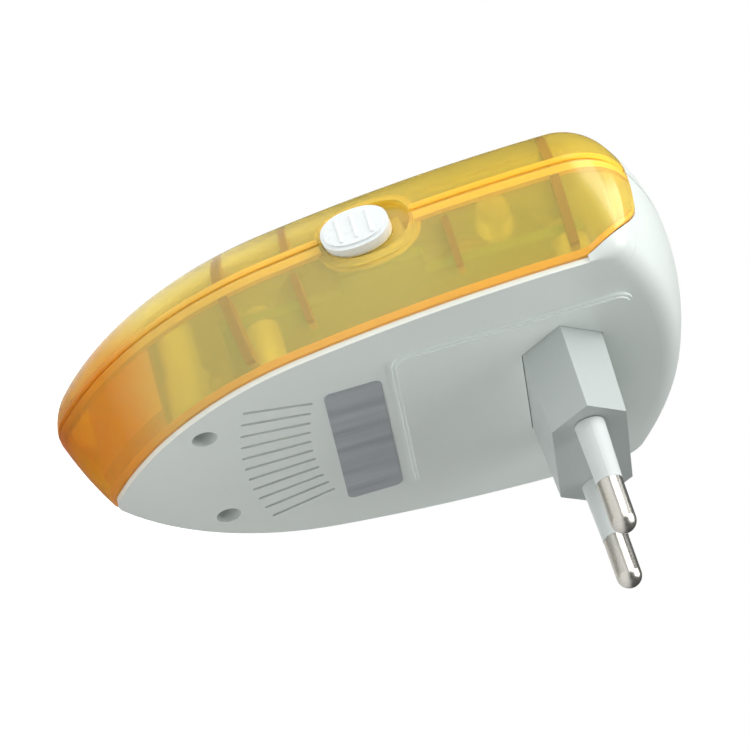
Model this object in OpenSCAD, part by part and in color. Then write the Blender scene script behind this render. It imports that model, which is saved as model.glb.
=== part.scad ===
// Plug-in ultrasonic pest repeller with a translucent amber band and a night light.
// Units are millimetres. Every module is drawn in case axes: X across, Y up the case and Z
// forward from the plug's face, and stand() turns them so that the plug's pins point along +Y.

/* [Case outline] */
// Half width of the case at its widest
half_w = 36; // [30:0.1:42]
// Lowest point of the case
low_y = -78.3; // [-90:0.1:-70]
// Highest point of the case
high_y = 21.9; // [18:0.1:26]
// Radius of the two upper corners
corner_r = 9.8; // [9.5:0.1:12]
// Radius of the lower tip
tip_r = 9.6; // [9.5:0.1:12]
// Radius of the top edge
top_r = 68; // [60:1:90]
// Turn of each flank before the belly begins, degrees
flank_turn = 12; // [8:0.5:18]
// Turn at which the belly meets the tip, degrees
belly_turn = 60; // [50:1:72]

/* [Case depth] */
// Depth of the flat back behind the plug's face
back_z = 14.7; // [12:0.1:18]
// Depth of the seam between the rear and front halves
seam_z = 29.2; // [26:0.1:34]
// Inward lean of the rear half from seam to back
rear_inset = 6.2; // [5:0.1:8]
// Radius of the front half's edge
front_r = 10.3; // [10:0.1:12]
// Wall of the white covers
wall = 2; // [1.5:0.1:2.6]
// Wall of the amber bands
band_wall = 1.8; // [1.4:0.1:2.4]
// Half of the gap at the seam
seam_gap = 0.1; // [0.05:0.05:0.2]

/* [Plug] */
// Length of the plug's six-sided face
plug_len = 29.9; // [26:0.1:34]
// Length of its two parallel sides
plug_flat = 20.1; // [16:0.1:24]
// Thickness of the plug's face
plug_thick = 11.65; // [10:0.05:14]
// Growth of the post from face to foot
plug_grow = 1.084; // [1:0.002:1.12]
// Diameter of the round pins
pin_d = 4; // [3.9:0.05:4.2]
// Pin length from the plug's face
pin_len = 19; // [18:0.1:20]
// Pin spacing at the plug's face
pin_span = 18.6; // [18:0.1:19.2]
// Pin spacing at the tips
pin_tip_span = 17.5; // [17:0.1:18.6]
// Length of each insulating sleeve
sleeve_len = 10.3; // [9:0.1:11]

/* [Night light switch] */
// Height of the switch on the flank
switch_y = -24.5; // [-30:0.5:-18]
// Length of the oval recess
recess_len = 13.8; // [12:0.1:16]
// Width of the oval recess
recess_w = 8.2; // [7:0.1:10]
// Length of the sliding knob
knob_len = 10.6; // [9:0.1:12]
// Width of the sliding knob
knob_w = 6.8; // [6:0.1:8]

/* [Hidden] */
$fn = 64;
eps = 0.05;
// Centres of the tangent arcs of the outline
corner_x = half_w - corner_r;
top_cy = high_y - top_r;
corner_y = top_cy + sqrt(pow(top_r - corner_r, 2) - pow(corner_x, 2));
corner_turn = atan2(corner_y - top_cy, corner_x);
span_x = half_w - tip_r * cos(belly_turn);
span_y = corner_y - low_y - tip_r * (1 - sin(belly_turn));
fx = 1 - cos(flank_turn);
fy = sin(flank_turn);
bx = cos(flank_turn) - cos(belly_turn);
by = sin(belly_turn) - sin(flank_turn);
belly_r = (fx * span_y - fy * span_x) / (fx * by - fy * bx);
flank_r = (span_x - belly_r * bx) / fx;
flank_x = half_w - flank_r;
belly_x = flank_x + (flank_r - belly_r) * cos(flank_turn);
belly_y = corner_y - (flank_r - belly_r) * fy;
tip_y = low_y + tip_r;
// Section of the amber rear band: one arc that leans in from the seam
lean_start = 17;
lean_r = 75;
lean_cu = -lean_r * cos(lean_start);
lean_cz = seam_z + lean_r * sin(lean_start);
band_z = back_z + 1;
// Section of the white top end: a long arc running into a tighter one
end_turn = 23.7;
end_small = 4;
end_big = (rear_inset - end_small * cos(end_turn)) / (1 - cos(end_turn));
end_small_z = back_z + end_small;
end_big_u = -end_big;
end_big_z = end_small_z + (end_big - end_small) * sin(end_turn);
end_join_z = end_small_z - end_small * sin(end_turn);
// Deepest inset that every corner of the outline can take
deep = 9.3;
front_top = seam_z + sqrt(pow(front_r, 2) - pow(front_r - deep, 2));
band_front = seam_z + 9.2;
flange_u = 8;
panel_z = front_top + 0.3;
// Rounded end of the rear band in the side view, and the hairline between swept lengths
end_r = 12;
band_top = 16.3;
end_turn_on = 2.3;
mask_gap = 0.12;
slit = 0.04;
// Plug
// Face of the raised pad, where the plug post begins
pad_step = 0.3;
foot_z = back_z - 0.5 - pad_step;
pin_tilt = atan((pin_span - pin_tip_span) / 2 / pin_len);
pin_neck = 1.5;
pin_inner = 20;
flange_z = back_z + wall + 0.1;
// Screws
screw_x = 12;
screw_y = -56.2;
hole_d = 4;
head_z = 24.3;
thread_r = 1.1;
// Locating pegs of the front cover
peg_x = 13;
peg_y = 10.6;
// Board
board_z = 25.3;
board_t = 1.6;
board_w = 46;
board_top = board_z + board_t;
post_x = 20.5;
post_low = -43;
post_high = 5;
// Sounder
sound_y = -18;
led_y = -46;
sound_r = 23;
dome_rise = 4.5;
dome_r = (pow(sound_r + 2, 2) + pow(dome_rise, 2)) / (2 * dome_rise);
dome_top = front_top + dome_rise;
// Switch frame on the flank
switch_turn = asin((switch_y - corner_y) / flank_r);
switch_x = flank_x + flank_r * cos(switch_turn);
recess_floor = -2;
floor_t = 1.2;
travel = 3;

// Turns case axes into the part's axes
module stand() {
    rotate([90, 0, 0])
        children();
}

module both() {
    children();
    mirror([1, 0, 0])
        children();
}

// Sweeps a section along one arc of the outline, a hair short at both ends so that the exact
// solids never share a face; the section's X is measured from the outline
module arc_sweep(x, y, r, from, to) {
    short = slit / r * 90 / PI;
    translate([x, y, 0])
        rotate([0, 0, from + short])
            rotate_extrude(angle = to - from - 2 * short, $fn = 180)
                translate([r, 0])
                    children();
}

module sweep_sides() {
    both() {
        arc_sweep(flank_x, corner_y, flank_r, -flank_turn, 0)
            children();
        arc_sweep(belly_x, belly_y, belly_r, -belly_turn, -flank_turn)
            children();
    }
    arc_sweep(0, tip_y, tip_r, belly_turn - 180, -belly_turn)
        children();
}

module sweep_corners() {
    both()
        arc_sweep(corner_x, corner_y, corner_r, 0, corner_turn)
            children();
}

// The first stretch of the top edge, where the bands still run
module sweep_band_end() {
    both()
        arc_sweep(0, top_cy, top_r, corner_turn, corner_turn + end_turn_on)
            children();
}

module sweep_top() {
    arc_sweep(0, top_cy, top_r, corner_turn + end_turn_on, 180 - corner_turn - end_turn_on)
        children();
}

// Points along an arc, without its first one
function arc_points(x, y, r, from, to, steps) =
    [for (i = [1 : steps])
        let (a = from + (to - from) * i / steps)
            [x + r * cos(a), y + r * sin(a)]];

function right_side(d) = concat(
    arc_points(0, tip_y, tip_r - d, -90, -belly_turn, 5),
    arc_points(belly_x, belly_y, belly_r - d, -belly_turn, -flank_turn, 16),
    arc_points(flank_x, corner_y, flank_r - d, -flank_turn, 0, 10),
    arc_points(corner_x, corner_y, corner_r - d, 0, corner_turn, 9),
    arc_points(0, top_cy, top_r - d, corner_turn, 90, 8));

// The outline filled in, moved in from its edge by d
module fill_2d(d) {
    right = right_side(d);
    polygon(concat(right,
                   [for (i = [len(right) - 2 : -1 : 0]) [-right[i][0], right[i][1]]],
                   [[0, low_y + d]]));
}

module slab(d, z0, z1) {
    translate([0, 0, z0])
        linear_extrude(z1 - z0)
            fill_2d(d);
}

// Sections, drawn with X from the outline and Y as depth
module window_2d(u0, u1, z0, z1) {
    translate([u0, z0])
        square([u1 - u0, z1 - z0]);
}

module lean_2d(out, in, z0, z1) {
    intersection() {
        difference() {
            translate([lean_cu, lean_cz])
                circle(lean_r - out, $fn = 180);
            translate([lean_cu, lean_cz])
                circle(lean_r - in, $fn = 180);
        }
        window_2d(-deep, 1, z0, z1);
    }
}

module end_fill_2d(t) {
    intersection() {
        translate([end_big_u, end_big_z])
            circle(end_big - t, $fn = 180);
        window_2d(-2 * deep, 1, end_join_z, seam_z + 1);
    }
    translate([-rear_inset, end_small_z])
        circle(end_small - t);
    window_2d(-2 * deep, -rear_inset, back_z + t, end_join_z);
}

module end_2d() {
    intersection() {
        difference() {
            end_fill_2d(0);
            end_fill_2d(wall);
        }
        window_2d(-7.2, 1, back_z, seam_z - seam_gap);
    }
}

module front_2d(t, u0, u1, z0, z1) {
    intersection() {
        difference() {
            translate([-front_r, seam_z])
                circle(front_r);
            translate([-front_r, seam_z])
                circle(front_r - t);
        }
        window_2d(u0, u1, z0, z1);
    }
}

// Side view of the rear band's rounded end, as a bar across the case, or of the room round it
module end_bar(grow, round_it) {
    rotate([90, 0, 90])
        translate([0, 0, -half_w - 5])
            linear_extrude(2 * half_w + 10)
                if (round_it)
                    difference() {
                        translate([0, back_z - 1])
                            square([40, 20]);
                        band_side_2d(grow);
                    }
                else
                    band_side_2d(0);
}

module band_side_2d(grow) {
    end_y = band_top - end_r;
    translate([-5, band_z - grow])
        square([end_y + 5, 25]);
    translate([-5, band_z + end_r])
        square([band_top + grow + 5, 25 - end_r]);
    translate([end_y, band_z + end_r])
        circle(end_r + grow);
}

// Stands children on the flank: X outward, Y up along the flank, origin on the seam
module on_flank() {
    translate([switch_x, switch_y, seam_z])
        rotate([0, 0, switch_turn])
            children();
}

// A full oval with half sizes a and b
module oval_2d(a, b) {
    fullness = 2 / 2.3;
    polygon([for (t = [0 : 7.5 : 352.5])
        [a * sign(cos(t)) * pow(abs(cos(t)), fullness),
         b * sign(sin(t)) * pow(abs(sin(t)), fullness)]]);
}

// An oval block standing on the flank between two heights above the outline
module oval_block(len, w, n0, n1) {
    translate([n0, 0, 0])
        rotate([90, 0, 90])
            linear_extrude(n1 - n0)
                oval_2d(len / 2, w / 2);
}

// Ribs inside the bands, cut from the flank's own section
module rib_slices(places, thick, z0, z1) {
    for (y = places)
        translate([-half_w, y - thick / 2, z0])
            cube([2 * half_w, thick, z1 - z0]);
}

// The block of thicker wall behind the switch, cut from a section swept along the flank
module recess_pad() {
    intersection() {
        sweep_sides()
            children();
        on_flank()
            translate([recess_floor - floor_t, -recess_len / 2 - 2, -recess_w / 2 - 1.6])
                cube([-recess_floor + floor_t, recess_len + 4, recess_w + 3.2]);
    }
}

module recess_cut() {
    on_flank() {
        oval_block(recess_len, recess_w, recess_floor, 4);
        translate([recess_floor - floor_t - 3, -3.7, -1.4])
            cube([floor_t + 4, 7.4, 2.8]);
    }
}

// Six-sided prism with a straight side
module hex_2d(grow, gap) {
    px = plug_len / 2 * grow + gap;
    fx2 = plug_flat / 2 * grow + gap * 0.6;
    ty = plug_thick / 2 * grow + gap;
    polygon([[px, 0], [fx2, ty], [-fx2, ty], [-px, 0], [-fx2, -ty], [fx2, -ty]]);
}

// A pair of opposite tapering faces, half apart at the plug's face
module face_pair(turn, half) {
    rotate([0, 0, turn])
        rotate([90, 0, 0])
            translate([0, 0, -30])
                linear_extrude(60)
                    polygon([[-half, 0], [half, 0],
                             [half * plug_grow, foot_z], [-half * plug_grow, foot_z]]);
}

module tilted_pin(side) {
    translate([side * pin_span / 2, 0, 0])
        rotate([0, side * pin_tilt, 0])
            children();
}

module pin_solid(side) {
    tilted_pin(side) {
        translate([0, 0, -pin_len + pin_d / 2])
            cylinder(d = pin_d, h = pin_len - pin_d / 2 - sleeve_len);
        translate([0, 0, -pin_len + pin_d / 2])
            sphere(d = pin_d);
        translate([0, 0, -sleeve_len])
            cylinder(r = pin_neck, h = sleeve_len + pin_inner);
    }
}

module round_rect_2d(x0, x1, y0, y1, r) {
    translate([x0 + r, y0])
        square([x1 - x0 - 2 * r, y1 - y0]);
    translate([x0, y0 + r])
        square([x1 - x0, y1 - y0 - 2 * r]);
    for (x = [x0 + r, x1 - r])
        for (y = [y0 + r, y1 - r])
            translate([x, y])
                circle(r);
}

// The raised pad round the plug, in two low steps
module raised_pad() {
    for (step = [0, 1])
        translate([0, 0, back_z - 0.5 - step * pad_step])
            linear_extrude(1)
                round_rect_2d(-19.6 + step * 0.5, 19.6 - step * 0.5,
                              -26.1 + step * 0.5, 11.7 - step * 0.5, 2.6 - step * 0.5);
}

module vent_slots() {
    vent_y = 10.3;
    slot_w = 0.64;
    for (a = [-15 : 3 : 15])
        translate([0, vent_y, back_z - 1])
            rotate([0, 0, a]) {
                translate([-slot_w / 2, -61.7, 0])
                    cube([slot_w, 10.4, wall + 2]);
                for (y = [-61.7, -51.3])
                    translate([0, y, 0])
                        cylinder(d = slot_w, h = wall + 2, $fn = 24);
            }
}

module posts(z0, z1, r) {
    for (x = [-post_x, post_x])
        for (y = [post_low, post_high])
            translate([x, y, z0])
                cylinder(r = r, h = z1 - z0);
}

module rear_cover() {
    color([0.9, 0.92, 0.9])
        stand()
            difference() {
                union() {
                    slab(rear_inset + 0.1, back_z, band_z - 0.05);
                    slab(8.3, back_z + 0.5, back_z + wall);
                    intersection() {
                        union() {
                            sweep_corners()
                                end_2d();
                            sweep_band_end()
                                end_2d();
                        }
                        end_bar(mask_gap, true);
                    }
                    sweep_top()
                        end_2d();
                    raised_pad();
                    for (x = [-screw_x, screw_x])
                        translate([x, screw_y, back_z + wall - eps])
                            cylinder(r = 3.5, h = head_z + 1.5 - back_z - wall);
                    posts(back_z + wall - eps, board_z, 2.5);
                    for (x = [-peg_x, peg_x])
                        translate([x, peg_y, back_z + wall - eps])
                            cylinder(r = 2.6, h = 10);
                }
                vent_slots();
                for (x = [-screw_x, screw_x])
                    translate([x, screw_y, back_z - 1]) {
                        cylinder(d = hole_d, h = head_z - back_z + 1);
                        cylinder(r = thread_r + 0.15, h = 20);
                    }
                posts(back_z + wall + 2, board_z + 1, 0.95);
                for (x = [-peg_x, peg_x])
                    translate([x, peg_y, back_z + wall + 2])
                        cylinder(r = 1.55, h = 12);
                translate([0, 0, foot_z - 1])
                    linear_extrude(wall + 3)
                        hex_2d(plug_grow, 0.12);
            }
}

module front_cover() {
    color([0.93, 0.94, 0.92])
        stand()
            difference() {
                union() {
                    slab(7, band_front + 0.05, panel_z - 0.6);
                    slab(8.1, band_front + 0.3, panel_z);
                    slab(9.4, panel_z - wall, panel_z - 0.1);
                    sweep_top()
                        front_2d(wall, -8.9, 1, seam_z + seam_gap, front_top);
                    intersection() {
                        translate([0, sound_y, dome_top - dome_r])
                            sphere(dome_r, $fn = 120);
                        translate([0, sound_y, panel_z - 1])
                            cylinder(r = sound_r + 3, h = dome_rise + 2);
                    }
                    for (x = [-screw_x, screw_x])
                        translate([x, screw_y, head_z + 1.6])
                            cylinder(r = 2.8, h = panel_z - head_z - 3);
                    for (x = [-peg_x, peg_x])
                        translate([x, peg_y, back_z + wall + 5])
                            cylinder(r = 1.5, h = panel_z - back_z - wall - 6);
                    for (x = [-peg_x, peg_x])
                        translate([x, peg_y, 27.2])
                            cylinder(r = 2.6, h = panel_z - 28.4);
                }
                intersection() {
                    translate([0, sound_y, dome_top - dome_r])
                        sphere(dome_r - wall, $fn = 120);
                    translate([0, sound_y, panel_z - wall - 1])
                        cylinder(r = sound_r - 1, h = wall + dome_rise + 2);
                }
                grille_slots();
                for (x = [-screw_x, screw_x])
                    translate([x, screw_y, head_z])
                        cylinder(r = thread_r - 0.05, h = 12);
                translate([0, led_y, panel_z - wall - 1])
                    cylinder(d = 3.2, h = wall + 2);
            }
}

module grille_slots() {
    slot_w = 1.7;
    for (i = [-4 : 4]) {
        half = sqrt(pow(17, 2) - pow(i * 3.6, 2)) - slot_w / 2;
        translate([0, sound_y + i * 3.6, front_top])
            for (s = [-1, 1]) {
                translate([s > 0 ? 1.2 : -half, -slot_w / 2, 0])
                    cube([half - 1.2, slot_w, 8]);
                for (x = [1.2, half])
                    translate([s * x, 0, 0])
                        cylinder(d = slot_w, h = 8, $fn = 24);
            }
    }
}

module rear_band() {
    color([1, 0.68, 0.1, 0.8])
        stand()
            difference() {
                union() {
                    sweep_sides()
                        lean_2d(0, band_wall, band_z, seam_z - seam_gap);
                    intersection() {
                        union() {
                            sweep_corners()
                                lean_2d(0, band_wall, band_z, seam_z - seam_gap);
                            sweep_band_end()
                                lean_2d(0, band_wall, band_z, seam_z - seam_gap);
                        }
                        end_bar(0, false);
                    }
                    intersection() {
                        sweep_sides()
                            lean_2d(1, 3.4, back_z + 3.5, seam_z - seam_gap);
                        union() {
                            rib_slices([-48, 4.6], 1.8, back_z, seam_z);
                            rib_slices([-36.9, -12.9], 1.3, 20, 28);
                        }
                    }
                    recess_pad()
                        lean_2d(1, 6, back_z + 3.5, seam_z - seam_gap);
                }
                recess_cut();
            }
}

module front_band() {
    color([1, 0.75, 0.15, 0.8])
        stand()
            difference() {
                union() {
                    sweep_sides()
                        front_2d(band_wall, -flange_u, 1, seam_z + seam_gap, band_front);
                    sweep_corners()
                        front_2d(band_wall, -flange_u, 1, seam_z + seam_gap, band_front);
                    sweep_band_end()
                        front_2d(band_wall, -flange_u, 1, seam_z + seam_gap, band_front);
                    intersection() {
                        sweep_sides()
                            front_2d(4.5, -6.5, -1, seam_z + seam_gap, 35);
                        union() {
                            rib_slices([-48, 4.6], 1.8, 30.5, 36);
                            rib_slices([-36.9], 1.3, 30, 36);
                        }
                    }
                    recess_pad()
                        front_2d(6, -6.5, -1, seam_z + seam_gap, 36);
                }
                recess_cut();
            }
}

module plug_body() {
    side_turn = atan2((plug_len - plug_flat) / 2, plug_thick / 2);
    side_half = plug_len / 2 * cos(side_turn);
    color([0.88, 0.9, 0.88])
        stand()
            difference() {
                union() {
                    intersection() {
                        face_pair(90, plug_thick / 2);
                        face_pair(side_turn, side_half);
                        face_pair(-side_turn, side_half);
                    }
                    translate([0, 0, foot_z - eps])
                        linear_extrude(flange_z - foot_z + 1.5)
                            hex_2d(plug_grow, 0);
                    translate([-17.4, -7.4, flange_z])
                        cube([34.8, 14.8, 1.5]);
                }
                for (s = [-1, 1])
                    tilted_pin(s)
                        translate([0, 0, -1])
                            cylinder(r = pin_neck - 0.03, h = 24);
            }
}

module pin_sleeves() {
    color([0.92, 0.93, 0.92])
        stand()
            for (s = [-1, 1])
                tilted_pin(s)
                    translate([0, 0, -sleeve_len + 0.02])
                        difference() {
                            cylinder(d1 = pin_d + 0.1, d2 = pin_d + 0.7, h = sleeve_len - 0.1);
                            translate([0, 0, -1])
                                cylinder(r = pin_neck - 0.03, h = sleeve_len + 2);
                        }
}

module contact_pin_left() {
    color([0.75, 0.74, 0.72])
        stand()
            pin_solid(-1);
}

module contact_pin_right() {
    color([0.75, 0.74, 0.72])
        stand()
            pin_solid(1);
}

module contact_strip(side) {
    x = side * (pin_span / 2 + pin_inner * tan(pin_tilt));
    difference() {
        union() {
            translate([x - 3, -3, pin_inner - 1.4])
                cube([6, 6, 0.5]);
            translate([x - 1.5, 2.6, pin_inner - 1.4])
                cube([3, 0.5, board_z - pin_inner + 1.4]);
        }
        tilted_pin(side)
            cylinder(r = pin_neck - 0.03, h = 30);
    }
}

module contact_strip_left() {
    color([0.8, 0.65, 0.35])
        stand()
            contact_strip(-1);
}

module contact_strip_right() {
    color([0.8, 0.65, 0.35])
        stand()
            contact_strip(1);
}

module rating_label() {
    r = 1.2;
    color([0.72, 0.74, 0.75])
        stand()
            translate([-17.4, -37.2, back_z - 0.15])
                linear_extrude(0.15) {
                    translate([r, 0])
                        square([32 - 2 * r, 9]);
                    translate([0, r])
                        square([32, 9 - 2 * r]);
                    for (x = [r, 32 - r])
                        for (y = [r, 9 - r])
                            translate([x, y])
                                circle(r);
                }
}

module switch_knob() {
    rest = -travel / 2 + 0.05;
    color([0.93, 0.95, 0.95])
        stand()
            on_flank()
                translate([0, rest, 0])
                    difference() {
                        union() {
                            oval_block(knob_len, knob_w, recess_floor + 0.15, 0.5);
                            oval_block(knob_len - 1.2, knob_w - 1.2, 0, 0.9);
                            for (y = [-2.4, 0, 2.4])
                                translate([0.8, y, -2])
                                    cylinder(r = 0.35, h = 4, $fn = 24);
                            translate([-4.4, -2, -1.2])
                                cube([2.7, 4, 2.4]);
                        }
                        translate([-5, -0.85, -0.85])
                            cube([2.6, 1.7, 1.7]);
                    }
}

module switch_lever() {
    rest = -travel / 2 + 0.05;
    color([0.15, 0.15, 0.16])
        stand()
            on_flank()
                translate([-6, rest, 0]) {
                    translate([-0.3, -0.8, -0.8])
                        cube([3.7, 1.6, 1.6]);
                    translate([-1.2, -1.8, -1.2])
                        cube([1, 3.6, 2.4]);
                }
}

module switch_body() {
    color([0.7, 0.71, 0.72])
        stand()
            on_flank()
                difference() {
                    translate([-9.2, -5, board_top - seam_z])
                        cube([4.6, 10, 2 * (seam_z - board_top)]);
                    translate([-7.4, -3.8, -1.5])
                        cube([1.4, 7.6, 3]);
                    translate([-7, -2.6, -1])
                        cube([3, 5.2, 2]);
                }
}

module circuit_board() {
    color([0.16, 0.4, 0.24])
        stand()
            difference() {
                union() {
                    translate([-board_w / 2, -49, board_z])
                        cube([board_w, 56.6, board_t]);
                    translate([20, -30, board_z])
                        cube([8, 13, board_t]);
                }
                posts(board_z - 1, board_top + 1, 1.15);
            }
}

module mains_capacitor() {
    color([0.85, 0.72, 0.2])
        stand()
            translate([-20, -30, board_top])
                cube([6, 15, 6.6]);
}

module filter_capacitor() {
    color([0.14, 0.2, 0.42])
        stand()
            translate([-6, 3, board_top + 3.5]) {
                rotate([0, 90, 0])
                    cylinder(d = 7, h = 12);
                translate([12 - eps, 0, 0])
                    rotate([0, 90, 0])
                        cylinder(d = 6.2, h = 0.5);
            }
}

module rectifier_diodes() {
    color([0.12, 0.12, 0.13])
        stand()
            for (i = [0 : 3])
                translate([-8 + i * 4, -40, board_top + 1.35]) {
                    rotate([-90, 0, 0])
                        cylinder(d = 2.7, h = 5.2);
                    translate([-0.35, -1.5, -1.35])
                        cube([0.7, 8.2, 0.7]);
                }
}

module driver_coil() {
    color([0.5, 0.28, 0.14])
        stand()
            translate([12, -10, board_top]) {
                cylinder(d = 9, h = 1);
                cylinder(d = 6.5, h = 6);
                translate([0, 0, 5.5])
                    cylinder(d = 9, h = 1);
            }
}

module control_chip() {
    color([0.1, 0.1, 0.11])
        stand()
            translate([-5, -24, board_top]) {
                translate([0, 0, 0.6])
                    cube([10, 6.4, 3.2]);
                for (i = [0 : 3])
                    translate([1 + i * 2.4, -0.8, 0])
                        cube([0.6, 8, 1.6]);
            }
}

module drive_transistors() {
    color([0.13, 0.13, 0.14])
        stand()
            for (x = [11, 17])
                translate([x, -24, board_top + 2]) {
                    intersection() {
                        cylinder(d = 4.8, h = 4.6);
                        translate([-2.4, -1.2, 0])
                            cube([4.8, 3.8, 4.6]);
                    }
                    for (i = [-1.2, 0, 1.2])
                        translate([i, 0.4, -2])
                            cylinder(d = 0.5, h = 2.2, $fn = 16);
                }
}

module fuse_resistor() {
    color([0.45, 0.6, 0.5])
        stand()
            translate([-9, -8, board_top + 1.9]) {
                rotate([0, 90, 0])
                    cylinder(d = 3.6, h = 9);
                for (x = [-0.8, 9])
                    translate([x, -0.35, -1.9])
                        cube([0.8, 0.7, 2.2]);
            }
}

module sounder_frame() {
    color([0.2, 0.2, 0.21])
        stand()
            translate([0, sound_y, panel_z - wall - 3.1])
                difference() {
                    cylinder(r = sound_r + 0.8, h = 3);
                    translate([0, 0, 0.8])
                        cylinder(r = 18.5, h = 3);
                    translate([0, 0, -1])
                        cylinder(r = 16, h = 5);
                }
}

module sounder_plate() {
    color([0.82, 0.68, 0.38])
        stand()
            translate([0, sound_y, panel_z - wall - 2.3])
                cylinder(r = 18.4, h = 0.4);
}

module sounder_crystal() {
    color([0.85, 0.85, 0.82])
        stand()
            translate([0, sound_y, panel_z - wall - 2.6])
                cylinder(r = 12.5, h = 0.3);
}

module light_block() {
    color([0.95, 0.5, 0.05, 0.8])
        stand()
            intersection() {
                union() {
                    slab(8.6, back_z + wall + eps, 20.2);
                    slab(6, 20.2, 36);
                }
                translate([-30, -80, 0])
                    cube([60, 19.4, 50]);
            }
}

module led(d, h) {
    cylinder(d = d + 0.8, h = 1);
    cylinder(d = d, h = h - d / 2);
    translate([0, 0, h - d / 2])
        sphere(d = d);
}

// A lamp lying along the edge of the board, with its two bent leads; down is along -Y
module edge_led(d, h) {
    lead = 0.5;
    led(d, h);
    for (x = [-1.27, 1.27])
        translate([x - lead / 2, 0, -3]) {
            translate([0, -lead / 2, 0])
                cube([lead, lead, 3.1]);
            translate([0, -3, 0])
                cube([lead, 3, lead]);
        }
}

module night_light_leds() {
    color([0.95, 0.9, 0.75])
        stand() {
            translate([0, -51, board_top + 3])
                rotate([90, 0, 0])
                    edge_led(5, 8.5);
            both()
                translate([23, -5, board_top + 3])
                    rotate([90, 0, 90])
                        edge_led(5, 7);
        }
}

module power_led() {
    base_z = panel_z - 6.4;
    color([0.85, 0.2, 0.15])
        stand() {
            translate([0, led_y, base_z])
                led(3, 6.8);
            for (x = [-0.6, 0.6])
                translate([x, led_y, board_top])
                    cylinder(r = 0.25, h = base_z - board_top + eps, $fn = 24);
        }
}

module pan_screw(head_d, head_h, shank_r, len) {
    difference() {
        cylinder(d = head_d, h = head_h);
        translate([-head_d * 0.35, -0.25, -1])
            cube([head_d * 0.7, 0.5, 1.7]);
        translate([-0.25, -head_d * 0.35, -1])
            cube([0.5, head_d * 0.7, 1.7]);
    }
    translate([0, 0, head_h - eps])
        cylinder(r = shank_r, h = len);
}

module housing_screws() {
    color([0.55, 0.56, 0.58])
        stand()
            for (x = [-screw_x, screw_x])
                translate([x, screw_y, head_z - 1.6])
                    pan_screw(3.7, 1.6, thread_r, 10);
}

module board_screws() {
    color([0.55, 0.56, 0.58])
        stand()
            for (x = [-post_x, post_x])
                for (y = [post_low, post_high])
                    translate([x, y, board_top + 1.4])
                        rotate([180, 0, 0])
                            pan_screw(4, 1.4, 1, 6);
}

rear_cover();
front_cover();
rear_band();
front_band();
plug_body();
pin_sleeves();
contact_pin_left();
contact_pin_right();
contact_strip_left();
contact_strip_right();
rating_label();
switch_knob();
switch_lever();
switch_body();
circuit_board();
mains_capacitor();
filter_capacitor();
rectifier_diodes();
driver_coil();
control_chip();
drive_transistors();
fuse_resistor();
sounder_frame();
sounder_plate();
sounder_crystal();
light_block();
night_light_leds();
power_led();
housing_screws();
board_screws();
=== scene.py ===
import math

import bmesh
import bpy
from mathutils import Matrix, Vector


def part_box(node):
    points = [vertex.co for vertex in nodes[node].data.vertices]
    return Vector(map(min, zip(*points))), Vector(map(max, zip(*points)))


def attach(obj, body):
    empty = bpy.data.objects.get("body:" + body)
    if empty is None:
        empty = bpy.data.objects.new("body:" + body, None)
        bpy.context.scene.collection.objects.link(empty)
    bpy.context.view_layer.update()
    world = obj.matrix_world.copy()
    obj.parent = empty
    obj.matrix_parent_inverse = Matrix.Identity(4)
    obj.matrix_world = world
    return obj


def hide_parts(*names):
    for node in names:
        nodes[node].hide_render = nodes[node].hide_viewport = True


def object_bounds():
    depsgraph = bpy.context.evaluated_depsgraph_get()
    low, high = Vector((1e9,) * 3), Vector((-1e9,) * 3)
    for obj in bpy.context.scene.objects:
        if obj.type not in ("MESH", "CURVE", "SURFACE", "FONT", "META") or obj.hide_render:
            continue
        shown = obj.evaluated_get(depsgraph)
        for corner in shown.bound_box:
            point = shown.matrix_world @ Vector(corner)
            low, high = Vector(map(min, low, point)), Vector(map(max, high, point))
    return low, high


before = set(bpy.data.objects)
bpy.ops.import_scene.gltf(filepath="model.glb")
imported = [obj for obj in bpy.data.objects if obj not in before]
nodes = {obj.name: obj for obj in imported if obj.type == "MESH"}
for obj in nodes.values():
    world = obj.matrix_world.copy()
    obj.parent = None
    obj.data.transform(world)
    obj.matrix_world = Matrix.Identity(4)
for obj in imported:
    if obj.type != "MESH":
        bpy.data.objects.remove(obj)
box_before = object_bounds()

MM = 0.001
CASE_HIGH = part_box("front_cover")[1]
FRONT_BAND_LOW, FRONT_BAND_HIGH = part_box("front_band")
LOW_Z = FRONT_BAND_LOW.z


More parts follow.
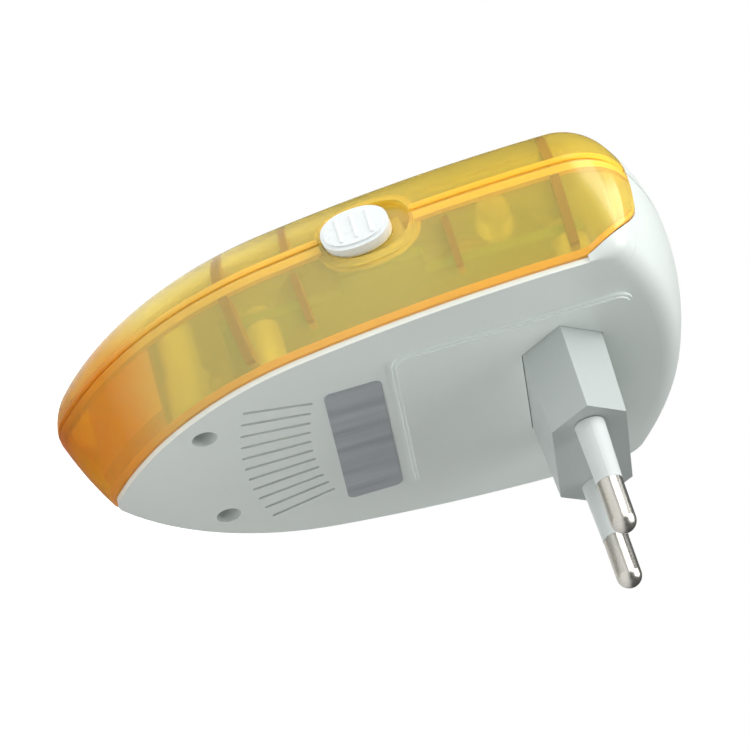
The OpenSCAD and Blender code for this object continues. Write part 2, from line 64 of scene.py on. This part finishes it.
# ---------------------------------------------------------------- materials
class Nodes:
    """A short way to build one material's node tree."""

    def __init__(self, name):
        self.material = bpy.data.materials.new(name)
        self.material.use_nodes = True
        self.tree = self.material.node_tree
        self.shader = self.tree.nodes["Principled BSDF"]
        self.coords = self.tree.nodes.new("ShaderNodeTexCoord").outputs["Object"]

    def add(self, kind, **values):
        node = self.tree.nodes.new(kind)
        for key, value in values.items():
            setattr(node, key, value)
        return node

    def link(self, source, target):
        self.tree.links.new(source, target)

    def noise(self, scale, detail=3.0, roughness=0.55, stretch=None):
        node = self.add("ShaderNodeTexNoise")
        node.inputs["Scale"].default_value = scale
        node.inputs["Detail"].default_value = detail
        node.inputs["Roughness"].default_value = roughness
        source = self.coords
        if stretch:
            mapping = self.add("ShaderNodeMapping")
            mapping.inputs["Scale"].default_value = stretch
            self.link(self.coords, mapping.inputs["Vector"])
            source = mapping.outputs["Vector"]
        self.link(source, node.inputs["Vector"])
        return node.outputs["Fac"]

    def ramp(self, factor, stops):
        node = self.add("ShaderNodeValToRGB")
        elements = node.color_ramp.elements
        while len(elements) < len(stops):
            elements.new(0.5)
        for element, (place, colour) in zip(elements, stops):
            element.position = place
            element.color = (*colour, 1.0)
        self.link(factor, node.inputs["Fac"])
        return node.outputs["Color"]

    def spread(self, factor, low, high, start=0.3, end=0.7):
        node = self.add("ShaderNodeMapRange")
        for key, value in (("From Min", start), ("From Max", end), ("To Min", low), ("To Max", high)):
            node.inputs[key].default_value = value
        self.link(factor, node.inputs["Value"])
        return node.outputs["Result"]

    def bump(self, height, strength, distance):
        node = self.add("ShaderNodeBump")
        node.inputs["Strength"].default_value = strength
        node.inputs["Distance"].default_value = distance
        self.link(height, node.inputs["Height"])
        self.link(node.outputs["Normal"], self.shader.inputs["Normal"])

    def let_lamps_through(self, tint):
        """Lamps shine through the piece in its own colour, so that what it shuts in is lit."""
        clear = self.add("ShaderNodeBsdfTransparent")
        clear.inputs["Color"].default_value = (*tint, 1.0)
        mix = self.add("ShaderNodeMixShader")
        self.link(self.add("ShaderNodeLightPath").outputs["Is Shadow Ray"], mix.inputs["Fac"])
        self.link(self.shader.outputs["BSDF"], mix.inputs[1])
        self.link(clear.outputs["BSDF"], mix.inputs[2])
        self.link(mix.outputs["Shader"], self.tree.nodes["Material Output"].inputs["Surface"])

    def set(self, **values):
        for key, value in values.items():
            self.shader.inputs[key.replace("_", " ")].default_value = value


def shade(colour, factor):
    return tuple(min(1.0, c * factor) for c in colour)


def moulded(name, colour, rough=(0.32, 0.42), grain=900.0, depth=0.02, vary=0.04, **sockets):
    """Moulded plastic: a faint cloud in its colour, a fine spark-eroded grain and uneven gloss."""
    n = Nodes(name)
    cloud = n.noise(35.0, 4.0)
    stops = [(0.35, shade(colour, 1 - vary)), (0.65, shade(colour, 1 + vary))]
    n.link(n.ramp(cloud, stops), n.shader.inputs["Base Color"])
    fine = n.noise(grain, 2.0)
    n.link(n.spread(fine, *rough), n.shader.inputs["Roughness"])
    n.bump(fine, depth * 10, 0.02 * MM)
    n.set(**sockets)
    return n.material


def amber(name, colour, edge, rough, through):
    """Frosted amber plastic that light passes through. Its colour turns to the edge colour near the tip."""
    n = Nodes(name)
    height = n.add("ShaderNodeSeparateXYZ")
    n.link(n.coords, height.inputs["Vector"])
    blur = n.add("ShaderNodeMath", operation="MULTIPLY_ADD")
    n.link(n.noise(90.0, 3.0), blur.inputs[0])
    blur.inputs[1].default_value = 6 * MM
    n.link(height.outputs["Z"], blur.inputs[2])
    tip = n.spread(blur.outputs["Value"], 0.0, 1.0, LOW_Z + 13 * MM, LOW_Z + 21 * MM)
    n.link(n.ramp(tip, [(0.0, edge), (1.0, colour)]), n.shader.inputs["Base Color"])
    frost = n.noise(5000.0, 2.0)
    n.link(n.spread(frost, *rough), n.shader.inputs["Roughness"])
    n.bump(frost, 0.05, 0.005 * MM)
    n.set(IOR=1.49, Transmission_Weight=through)
    n.let_lamps_through(shade(colour, 0.94))
    return n.material


def turned_metal(name, colour, rough=(0.22, 0.38), lines=None, depth=0.1):
    """Plated metal with fine tool lines along or round it."""
    n = Nodes(name)
    streak = n.noise(900.0, 3.0, stretch=lines or (1.0, 0.08, 1.0))
    n.link(n.ramp(streak, [(0.3, shade(colour, 0.82)), (0.7, colour)]), n.shader.inputs["Base Color"])
    n.link(n.spread(streak, *rough), n.shader.inputs["Roughness"])
    n.bump(streak, depth, 0.02 * MM)
    n.set(Metallic=1.0)
    return n.material


def film_label(name):
    """Silver-grey printed film with a faint brushed sheen."""
    n = Nodes(name)
    sheen = n.noise(500.0, 3.0, stretch=(1.0, 1.0, 0.05))
    stops = [(0.3, (0.40, 0.43, 0.45)), (0.7, (0.50, 0.53, 0.55))]
    n.link(n.ramp(sheen, stops), n.shader.inputs["Base Color"])
    n.link(n.spread(sheen, 0.3, 0.45), n.shader.inputs["Roughness"])
    n.bump(n.noise(120.0, 2.0), 0.1, 0.05 * MM)
    n.set(Metallic=0.35)
    return n.material


def laminate(name):
    """Green solder mask over a woven board, with paler tracks."""
    n = Nodes(name)
    brick = n.add("ShaderNodeTexBrick")
    brick.inputs["Scale"].default_value = 260.0
    brick.inputs["Color1"].default_value = (0.03, 0.16, 0.06, 1)
    brick.inputs["Color2"].default_value = (0.04, 0.20, 0.08, 1)
    brick.inputs["Mortar"].default_value = (0.07, 0.30, 0.12, 1)
    turn = n.add("ShaderNodeMapping")
    turn.inputs["Rotation"].default_value = (math.radians(90), 0, 0)
    n.link(n.coords, turn.inputs["Vector"])
    n.link(turn.outputs["Vector"], brick.inputs["Vector"])
    n.link(brick.outputs["Color"], n.shader.inputs["Base Color"])
    weave = n.noise(1500.0, 2.0)
    n.link(n.spread(weave, 0.25, 0.4), n.shader.inputs["Roughness"])
    n.bump(brick.outputs["Fac"], 0.2, 0.03 * MM)
    return n.material


WHITE = moulded("white_shell", (0.74, 0.79, 0.76), rough=(0.30, 0.40), vary=0.015)
# The plug is white plastic. Its colour is darkened to a mid grey as painted shade on the plug's faces; it is
# not the plastic's own colour.
PLUG_WHITE_PAINTED_SHADE = moulded(
    "white_plug", (0.44, 0.48, 0.47), rough=(0.42, 0.55), grain=1300.0, depth=0.03, vary=0.02
)
SLEEVE = moulded("sleeve_plastic", (0.60, 0.64, 0.63), rough=(0.40, 0.50), vary=0.02)
KNOB = moulded("knob_plastic", (0.82, 0.86, 0.86), rough=(0.25, 0.35), vary=0.01)
AMBER_REAR = amber("amber_rear", (1.0, 0.87, 0.26), (1.0, 0.58, 0.004), (0.14, 0.21), 0.72)
AMBER_FRONT = amber("amber_front", (1.0, 0.84, 0.20), (1.0, 0.58, 0.004), (0.14, 0.21), 0.74)
AMBER_LIP = amber("amber_lip", (1.0, 0.68, 0.08), (1.0, 0.52, 0.02), (0.30, 0.45), 0.15)
AMBER_RIM = amber("amber_rim", (1.0, 0.52, 0.02), (1.0, 0.44, 0.01), (0.30, 0.45), 0.15)
AMBER_RIB = amber("amber_rib", (0.30, 0.10, 0.006), (0.26, 0.08, 0.005), (0.35, 0.5), 0.1)
AMBER_BLOCK = amber("amber_block", (1.0, 0.48, 0.01), (1.0, 0.42, 0.01), (0.35, 0.5), 0.1)
BLACK = moulded("black_plastic", (0.02, 0.02, 0.022), rough=(0.45, 0.6), vary=0.15)
FILM_CAPACITOR = moulded("film_capacitor", (0.65, 0.45, 0.05), rough=(0.3, 0.4))
SLEEVE_BLUE = moulded("capacitor_sleeve", (0.02, 0.05, 0.2), rough=(0.3, 0.4))
COATING = moulded("resistor_coating", (0.2, 0.35, 0.25), rough=(0.5, 0.65), vary=0.1)
CERAMIC = moulded("ceramic_disc", (0.7, 0.7, 0.64), rough=(0.3, 0.45), vary=0.05)
LED_CLEAR = moulded("led_resin", (0.9, 0.86, 0.7), rough=(0.06, 0.12), vary=0.02, Transmission_Weight=0.7)
LED_RED = moulded("led_red", (0.7, 0.03, 0.02), rough=(0.06, 0.12), vary=0.05, Transmission_Weight=0.5)
PIN = turned_metal("pin_metal", (0.62, 0.60, 0.55))
STEEL = turned_metal("screw_steel", (0.48, 0.48, 0.47), rough=(0.3, 0.5))
SWITCH_STEEL = turned_metal("switch_steel", (0.55, 0.55, 0.55), rough=(0.25, 0.45))
BRASS = turned_metal("strip_brass", (0.72, 0.52, 0.22), rough=(0.25, 0.4))
COPPER = turned_metal("coil_copper", (0.55, 0.22, 0.08), rough=(0.3, 0.45), lines=(1.0, 8.0, 1.0), depth=0.4)
LABEL = film_label("label_film")
BOARD = laminate("board_laminate")

FINISH = {
    "rear_cover": WHITE,
    "front_cover": WHITE,
    "rear_band": AMBER_REAR,
    "front_band": AMBER_FRONT,
    "plug_body": PLUG_WHITE_PAINTED_SHADE,
    "pin_sleeves": SLEEVE,
    "contact_pin_left": PIN,
    "contact_pin_right": PIN,
    "contact_strip_left": BRASS,
    "contact_strip_right": BRASS,
    "rating_label": LABEL,
    "switch_knob": KNOB,
    "switch_lever": BLACK,
    "switch_body": SWITCH_STEEL,
    "circuit_board": BOARD,
    "mains_capacitor": FILM_CAPACITOR,
    "filter_capacitor": SLEEVE_BLUE,
    "rectifier_diodes": BLACK,
    "driver_coil": COPPER,
    "control_chip": BLACK,
    "drive_transistors": BLACK,
    "fuse_resistor": COATING,
    "sounder_frame": BLACK,
    "sounder_plate": BRASS,
    "sounder_crystal": CERAMIC,
    "light_block": AMBER_BLOCK,
    "night_light_leds": LED_CLEAR,
    "power_led": LED_RED,
    "housing_screws": STEEL,
    "board_screws": STEEL,
}
for name, material in FINISH.items():
    mesh = nodes[name].data
    mesh.materials.clear()
    mesh.materials.append(material)


# ---------------------------------------------------------------- outline of the case, in millimetres
# X across and Y up the case; depth is counted forward from the plug's face. The frame gives the
# width, the tip and the top. The radii and depths below are the design's own, as in the CAD source.
HALF_W = FRONT_BAND_HIGH.x / MM
LOW_Y = FRONT_BAND_LOW.z / MM
HIGH_Y = CASE_HIGH.z / MM
BACK, SEAM, SEAM_GAP = 14.7, 29.2, 0.1
CORNER_R, TIP_R, TOP_R, EDGE_R = 9.8, 9.6, 68.0, 10.3
FLANK_TURN, BELLY_TURN, BAND_END_TURN = map(math.radians, (12, 60, 2.3))
WALL = 1.8
BAND_BACK = BACK + 1
BAND_FRONT = SEAM + 9.2
FLANGE = 8.0
END_R, END_TOP = 12.0, 16.3

CORNER_X = HALF_W - CORNER_R
TOP_CY = HIGH_Y - TOP_R
CORNER_Y = TOP_CY + math.sqrt((TOP_R - CORNER_R) ** 2 - CORNER_X**2)
CORNER_TURN = math.atan2(CORNER_Y - TOP_CY, CORNER_X)
SPAN_X = HALF_W - TIP_R * math.cos(BELLY_TURN)
SPAN_Y = CORNER_Y - LOW_Y - TIP_R * (1 - math.sin(BELLY_TURN))
FX, FY = 1 - math.cos(FLANK_TURN), math.sin(FLANK_TURN)
BX, BY = math.cos(FLANK_TURN) - math.cos(BELLY_TURN), math.sin(BELLY_TURN) - math.sin(FLANK_TURN)
BELLY_R = (FX * SPAN_Y - FY * SPAN_X) / (FX * BY - FY * BX)
FLANK_R = (SPAN_X - BELLY_R * BX) / FX
FLANK_X = HALF_W - FLANK_R
BELLY_X = FLANK_X + (FLANK_R - BELLY_R) * math.cos(FLANK_TURN)
BELLY_Y = CORNER_Y - (FLANK_R - BELLY_R) * FY
TIP_Y = LOW_Y + TIP_R

LEAN_START, LEAN_R = math.radians(17), 75.0
REAR_INSET, END_TURN, END_SMALL = 6.2, math.radians(23.7), 4.0
END_BIG = (REAR_INSET - END_SMALL * math.cos(END_TURN)) / (1 - math.cos(END_TURN))
END_SMALL_Z = BACK + END_SMALL
END_BIG_Z = END_SMALL_Z + (END_BIG - END_SMALL) * math.sin(END_TURN)
END_JOIN_Z = END_SMALL_Z - END_SMALL * math.sin(END_TURN)

SWITCH_Y = -24.5
SWITCH_TURN = math.asin((SWITCH_Y - CORNER_Y) / FLANK_R)
RECESS_LEN, RECESS_W, RECESS_FLOOR = 13.8, 8.2, -2.0
SLOT_HALF_LEN, SLOT_HALF_W = 3.7, 1.4
OVAL_POWER = 2 / 2.3

# Ribs inside the bands: (height, thickness), the long ones first
LONG_RIBS = [(-48, 1.4), (4.6, 1.4)]
REAR_SHORT_RIBS = [(-36.9, 1.1), (-12.9, 1.1)]
FRONT_SHORT_RIBS = [(-36.9, 1.1)]
RIB_TOP, RIB_FOOT, SHORT_RIB_FOOT, FRONT_RIB_FOOT = 0.7, 3.6, 3.4, 4.0
RIB_BACK = 18.2
SHORT_RIB_BACK, SHORT_RIB_FRONT = 20, 27

# Insets of the rim and the lips in the wall, and the small round on the bands' edges
RIM_TOP, LIP_TOP, STRIP_FOOT = 0.35, 0.4, 1.6
RIM_WIDTH, STRIP_GAP = 0.9, 0.15
SOFT = 0.25


def lean(depth, inner=0.0):
    """Inset of the amber rear band's surface at a depth."""
    r = LEAN_R - inner
    rise = depth - SEAM - LEAN_R * math.sin(LEAN_START)
    return -LEAN_R * math.cos(LEAN_START) + math.sqrt(r * r - rise**2)


def bulge(depth):
    """Inset of the white end's fuller surface at a depth."""
    if depth > END_JOIN_Z:
        return -END_BIG + math.sqrt(END_BIG**2 - (depth - END_BIG_Z) ** 2)
    return -REAR_INSET + math.sqrt(max(END_SMALL**2 - (depth - END_SMALL_Z) ** 2, 0.0))


def fullness(turn):
    """How far the lean has grown into the full end curve at a turn round the corner, from 0 to 1."""
    t = min(max(turn / CORNER_TURN, 0.0), 1.0)
    return t * t * (3 - 2 * t)


def side(point, depth, inner=0.0):
    """Inset of the case's side at a point of the outline and a depth."""
    grown = max(bulge(depth) - lean(depth), 0.0) * fullness(math.atan2(point[3], abs(point[2])))
    return lean(depth, inner) + grown


def arc(cx, cy, r, start, end, pitch):
    steps = max(2, math.ceil(abs(end - start) * r / pitch))
    for i in range(steps):
        a = start + (end - start) * i / steps
        yield cx + r * math.cos(a), cy + r * math.sin(a), math.cos(a), math.sin(a)


def outline(pitch=0.9):
    """Points and outward directions from one end of the bands, round the tip, to the other end."""
    turn = CORNER_TURN
    side = [
        *arc(0, TOP_CY, TOP_R, turn + BAND_END_TURN, turn, pitch / 2),
        *arc(CORNER_X, CORNER_Y, CORNER_R, turn, 0, pitch / 2),
        *arc(FLANK_X, CORNER_Y, FLANK_R, 0, -FLANK_TURN, pitch),
        *arc(BELLY_X, BELLY_Y, BELLY_R, -FLANK_TURN, -BELLY_TURN, pitch),
        *arc(0, TIP_Y, TIP_R, -BELLY_TURN, -math.pi / 2, pitch / 2),
    ]
    other = [(-x, y, -nx, ny) for x, y, nx, ny in reversed(side)]
    return [*side, (0, LOW_Y, 0, -1), *other]


def place(x, y, depth):
    return Vector((x, -depth, y)) * MM


def new_object(name, verts, faces, material):
    mesh = bpy.data.meshes.new(name)
    mesh.from_pydata(verts, [], faces)
    bm = bmesh.new()
    bm.from_mesh(mesh)
    bmesh.ops.recalc_face_normals(bm, faces=bm.faces)
    bm.to_mesh(mesh)
    bm.free()
    obj = bpy.data.objects.new(name, mesh)
    bpy.context.scene.collection.objects.link(obj)
    if material:
        mesh.materials.append(material)
    return obj


def sweep(name, path, section, material):
    """A closed solid: section(point) gives (inset, depth) pairs, as many at every point of the path."""
    verts, faces = [], []
    for x, y, nx, ny in path:
        verts += [place(x + nx * u, y + ny * u, depth) for u, depth in section((x, y, nx, ny))]
    count = len(verts) // len(path)
    for i in range(len(path) - 1):
        for j in range(count):
            k = (j + 1) % count
            faces.append((i * count + j, i * count + k, (i + 1) * count + k, (i + 1) * count + j))
    faces.append(tuple(range(count)))
    faces.append(tuple(range(len(verts) - count, len(verts))))
    return new_object(name, verts, faces, material)


def smooth(obj, degrees=32):
    """Smooth shading, with edges sharper than a limit left crisp."""
    obj.data.shade_smooth()
    bm = bmesh.new()
    bm.from_mesh(obj.data)
    limit = math.radians(degrees)
    for edge in bm.edges:
        edge.smooth = len(edge.link_faces) == 2 and edge.calc_face_angle(0.0) < limit
    bm.to_mesh(obj.data)
    bm.free()


def cut(obj, cutter):
    """Takes the cutter's volume out of obj and throws the cutter away."""
    modifier = obj.modifiers.new("cut", "BOOLEAN")
    modifier.operation = "DIFFERENCE"
    modifier.solver = "EXACT"
    modifier.object = cutter
    bpy.context.view_layer.update()
    done = bpy.data.meshes.new_from_object(obj.evaluated_get(bpy.context.evaluated_depsgraph_get()))
    obj.modifiers.clear()
    obj.data = done
    bpy.data.objects.remove(cutter)


def flank_point(out, along, across):
    """A point on the switch's own axes: out of the flank, up along it, and forward of the seam."""
    x = FLANK_X + FLANK_R * math.cos(SWITCH_TURN)
    c, s = math.cos(SWITCH_TURN), math.sin(SWITCH_TURN)
    return place(x + out * c - along * s, SWITCH_Y + out * s + along * c, SEAM + across)


def oval_prism(name, length, width, low, high, material=None, steps=48):
    """A full oval between two heights above the flank, on the switch's own axes."""
    ring = []
    for i in range(steps):
        c, s = math.cos(math.tau * i / steps), math.sin(math.tau * i / steps)
        along = math.copysign(abs(c) ** OVAL_POWER, c) * length / 2
        ring.append((along, math.copysign(abs(s) ** OVAL_POWER, s) * width / 2))
    verts = [flank_point(out, a, b) for out in (low, high) for a, b in ring]
    faces = [(i, (i + 1) % steps, steps + (i + 1) % steps, steps + i) for i in range(steps)]
    faces += [tuple(range(steps)), tuple(range(steps, 2 * steps))]
    return new_object(name, verts, faces, material)


def slot_prism(name):
    """The lever's slot through the recess's floor."""
    a, b = SLOT_HALF_LEN, SLOT_HALF_W
    corners = [(-a, -b), (a, -b), (a, b), (-a, b)]
    verts = [flank_point(out, a, b) for out in (-5.0, 0.0) for a, b in corners]
    faces = [(0, 1, 2, 3), (4, 5, 6, 7), (0, 1, 5, 4), (1, 2, 6, 5), (2, 3, 7, 6), (3, 0, 4, 7)]
    return new_object(name, verts, faces, None)


def band_start(point):
    """Depth at which the rear band begins: its upper ends are rounded in the side view."""
    x, y, nx, ny = point
    depth = BAND_BACK
    for _ in range(6):
        over = y + ny * bulge(depth) - (END_TOP - END_R)
        if over > 0:
            depth = max(BAND_BACK, BAND_BACK + END_R - math.sqrt(max(END_R**2 - over**2, 0)))
    return min(depth, SEAM - 2)


def rear_section(point, steps=14):
    """The rear band's wall, with its two outer edges broken."""
    low, high = band_start(point), SEAM - SEAM_GAP
    depths = [low + (high - low) * i / steps for i in range(steps + 1)]
    outer = [(side(point, d), d) for d in depths]
    outer[0] = (side(point, low) - SOFT, low)
    outer.insert(1, (side(point, low + SOFT), low + SOFT))
    outer[-1] = (side(point, high) - SOFT, high)
    outer.insert(-1, (side(point, high - SOFT), high - SOFT))
    return outer + [(side(point, d, WALL), d) for d in reversed(depths)]


def front_section(point, steps=14):
    """The front band: a quarter round that ends in a flange under the front cover."""
    low = SEAM + SEAM_GAP
    first = math.asin((low + SOFT - SEAM) / EDGE_R)
    end = math.asin((BAND_FRONT - SEAM) / EDGE_R)
    turns = [first + i / steps * 1.05 for i in range(steps + 1)]
    turns = [t for t in turns if SEAM + EDGE_R * math.sin(t) < BAND_FRONT] + [end]
    outer = [(-EDGE_R * (1 - math.cos(t)), SEAM + EDGE_R * math.sin(t)) for t in turns]
    r = EDGE_R - WALL
    last = math.acos((EDGE_R - FLANGE) / r)
    inner = []
    for i in range(steps, -1, -1):
        t = last * i / steps
        inner.append((-EDGE_R + r * math.cos(t), max(low, SEAM + r * math.sin(t))))
    return [(-SOFT, low)] + outer + [(-FLANGE, BAND_FRONT)] + inner


def round_edge(turns, inner):
    """Points of the front's quarter round, moved in from it."""
    r = EDGE_R - inner
    return [(-EDGE_R + r * math.cos(t), SEAM + r * math.sin(t)) for t in turns]


def front_rib_section(point, steps=8):
    turns = [0.12 + 0.75 * i / steps for i in range(steps + 1)]
    return round_edge(turns, RIB_TOP) + round_edge(turns, FRONT_RIB_FOOT)[::-1]


def rear_rib_section(point, steps=8):
    depths = [RIB_BACK + (SEAM - 1.2 - RIB_BACK) * i / steps for i in range(steps + 1)]
    outer = [(lean(d, RIB_TOP), d) for d in depths]
    inner = [(lean(d, RIB_FOOT), d) for d in depths]
    return outer + inner[::-1]


def short_rib_section(point):
    back, front = SHORT_RIB_BACK, SHORT_RIB_FRONT
    corners = ((back, RIB_TOP), (front, RIB_TOP), (front, SHORT_RIB_FOOT), (back, SHORT_RIB_FOOT))
    return [(lean(depth, inner), depth) for depth, inner in corners]


def strip_section(point, low, high, top):
    """A strip inside the rear band's wall between two depths."""
    corners = ((low, top), (high, top), (high, STRIP_FOOT), (low, STRIP_FOOT))
    return [(side(point, depth, inner), depth) for depth, inner in corners]


def rim_section(point):
    low = band_start(point) + STRIP_GAP
    return strip_section(point, low, low + RIM_WIDTH, RIM_TOP)


def rear_lip_section(point):
    return strip_section(point, SEAM - 1.3, SEAM - SEAM_GAP - STRIP_GAP, LIP_TOP)


def front_lip_section(point):
    low, high = SEAM + SEAM_GAP + STRIP_GAP, SEAM + 1.1
    return [(-LIP_TOP, low), (-LIP_TOP - 0.1, high), (-STRIP_FOOT, high), (-STRIP_FOOT, low)]


def at_height(path, y, sign):
    """The path's point at a height, on one side of the case."""
    part = [p for p in path if p[0] * sign > 0]
    for a, b in zip(part, part[1:]):
        if (a[1] - y) * (b[1] - y) <= 0 and a[1] != b[1]:
            t = (y - a[1]) / (b[1] - a[1])
            return tuple(i + (j - i) * t for i, j in zip(a, b))
    raise ValueError("no such height on the outline")


def finish_piece(obj, replaced):
    """Shades a new piece and lets it stand for a CAD node of the case."""
    smooth(obj)
    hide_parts(replaced)
    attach(obj, "case")


def make_bands():
    """Both amber bands in one sweep each, with the ribs that show through them and the switch's recess."""
    path = outline()
    rear_ribs = [(rib, rear_rib_section) for rib in LONG_RIBS]
    rear_ribs += [(rib, short_rib_section) for rib in REAR_SHORT_RIBS]
    front_ribs = [(rib, front_rib_section) for rib in LONG_RIBS + FRONT_SHORT_RIBS]
    for name, section, material, ribs in (
        ("rear", rear_section, AMBER_REAR, rear_ribs),
        ("front", front_section, AMBER_FRONT, front_ribs),
    ):
        band = sweep(name + "_amber_band", path, section, material)
        cut(band, oval_prism("recess_cutter", RECESS_LEN, RECESS_W, -6, 3))
        finish_piece(band, name + "_band")
        for i, ((y, thick), form) in enumerate(ribs):
            for sign, word in ((1, "right"), (-1, "left")):
                ends = [at_height(path, y + thick / 2 * end, sign) for end in (-1, 1)]
                rib = sweep("{}_rib_{}_{}".format(name, word, i + 1), ends, form, AMBER_RIB)
                finish_piece(rib, name + "_band")
    for name, section, material, slot in (
        ("rear_band_rim", rim_section, AMBER_RIM, "amber_rear"),
        ("rear_band_lip", rear_lip_section, AMBER_LIP, "amber_rear"),
        ("front_band_lip", front_lip_section, AMBER_LIP, "amber_front"),
    ):
        strip = sweep(name, path[1:-1], section, material)
        cut(strip, oval_prism("recess_cutter", RECESS_LEN + 1, RECESS_W + 1, -6, 3))
        finish_piece(strip, "rear_band" if slot == "amber_rear" else "front_band")
    cup = oval_prism("recess_cup", RECESS_LEN + 2.4, RECESS_W + 2.4, -3.2, -1.6, AMBER_REAR)
    cut(cup, oval_prism("cup_cutter", RECESS_LEN + 0.2, RECESS_W + 0.2, RECESS_FLOOR, 0))
    cut(cup, slot_prism("slot_cutter"))
    finish_piece(cup, "rear_band")


def make_rear_cover():
    """The white rear part with its corners blended from the flank's lean to the end's fuller curve."""
    source = nodes["rear_cover"]
    mesh = source.data.copy()
    for vert in mesh.vertices:
        p = source.matrix_world @ vert.co / MM
        x, y, depth = abs(p.x) - CORNER_X, p.z - CORNER_Y, -p.y
        turn = math.atan2(y, x)
        if not (-1e-3 < turn < CORNER_TURN and BACK + 0.01 < depth < SEAM and math.hypot(x, y) > 1):
            continue
        out = math.hypot(x, y) - CORNER_R
        full, flat = bulge(depth), lean(depth)
        if turn < 1e-3 and out < flat + 0.05:
            continue
        blended = flat + max(full - flat, 0.0) * fullness(turn)
        if out > full - 1:
            back_off = full - blended
        else:
            back_off = out - (blended - 1) if out > flat - 1 else 0.0
        if back_off > 0:
            vert.co.x -= math.copysign(back_off * math.cos(turn) * MM, p.x)
            vert.co.z -= back_off * math.sin(turn) * MM
    cover = bpy.data.objects.new("rear_shell", mesh)
    cover.matrix_world = source.matrix_world
    bpy.context.scene.collection.objects.link(cover)
    finish_piece(cover, "rear_cover")


make_bands()
make_rear_cover()


# ---------------------------------------------------------------- stage
def make_floor():
    """A pale floor below the case's tip, bright enough to run into the background."""
    bpy.ops.mesh.primitive_plane_add(size=6.0, location=(0, 0, box_before[0].z - 0.4 * MM))
    floor = bpy.context.object
    floor.name = "floor"
    n = Nodes("pale_floor")
    stops = [(0.3, (0.80, 0.80, 0.80)), (0.7, (0.84, 0.84, 0.84))]
    n.link(n.ramp(n.noise(3.0), stops), n.shader.inputs["Base Color"])
    n.set(Roughness=0.8, Specular_IOR_Level=0.0, Emission_Color=(1, 1, 1, 1))
    seen = n.add("ShaderNodeLightPath").outputs["Is Camera Ray"]
    n.link(n.spread(seen, 0.15, 1.0, 0.0, 1.0), n.shader.inputs["Emission Strength"])
    floor.data.materials.append(n.material)


def make_world():
    """White to the camera, softer as a light."""
    world = bpy.data.worlds.new("studio")
    bpy.context.scene.world = world
    world.use_nodes = True
    tree = world.node_tree
    seen = tree.nodes["Background"]
    seen.inputs["Color"].default_value = (1, 1, 1, 1)
    seen.inputs["Strength"].default_value = 1.0
    fill = tree.nodes.new("ShaderNodeBackground")
    fill.inputs["Color"].default_value = (0.96, 1.0, 0.98, 1)
    fill.inputs["Strength"].default_value = FILL
    path = tree.nodes.new("ShaderNodeLightPath")
    mix = tree.nodes.new("ShaderNodeMixShader")
    tree.links.new(path.outputs["Is Camera Ray"], mix.inputs["Fac"])
    tree.links.new(fill.outputs["Background"], mix.inputs[1])
    tree.links.new(seen.outputs["Background"], mix.inputs[2])
    tree.links.new(mix.outputs["Shader"], tree.nodes["World Output"].inputs["Surface"])


def softbox(name, toward, distance, size, power, colour=(1, 1, 1)):
    """An area light that faces the case from a direction in the object's own axes."""
    centre = (box_before[0] + box_before[1]) / 2
    data = bpy.data.lights.new(name, "AREA")
    data.shape = "SQUARE"
    data.size = size
    data.energy = power
    data.color = colour
    light = bpy.data.objects.new(name, data)
    bpy.context.scene.collection.objects.link(light)
    way = Vector(toward).normalized()
    light.location = centre + way * distance
    light.rotation_euler = way.to_track_quat("Z", "Y").to_euler()


def make_camera():
    """The photograph's viewpoint: off the switch side and the back, rolled so that the case lies across."""
    look = Vector((-0.850, -0.525, 0.038)).normalized()
    up = Vector((0.513, -0.811, 0.279))
    right = look.cross(up).normalized()
    up = right.cross(look)
    data = bpy.data.cameras.new("camera")
    data.sensor_width = 36.0
    data.lens = 155.9
    camera = bpy.data.objects.new("camera", data)
    bpy.context.scene.collection.objects.link(camera)
    pose = Matrix((right, up, -look)).transposed().to_4x4()
    pose.translation = Vector((431.8, 242.0, -47.4)) * MM
    camera.matrix_world = pose
    bpy.context.scene.camera = camera


FILL = 0.12
make_floor()
make_world()
softbox("key", (0.75, -0.35, 0.55), 0.7, 0.5, 2.9)
softbox("top", (0.25, 0.10, 1.0), 0.7, 0.6, 5.0)
softbox("back_fill", (0.2, 1.0, -0.2), 0.8, 0.6, 0.02, (0.94, 1.0, 0.97))
make_camera()
bpy.context.scene.view_settings.view_transform = "Standard"
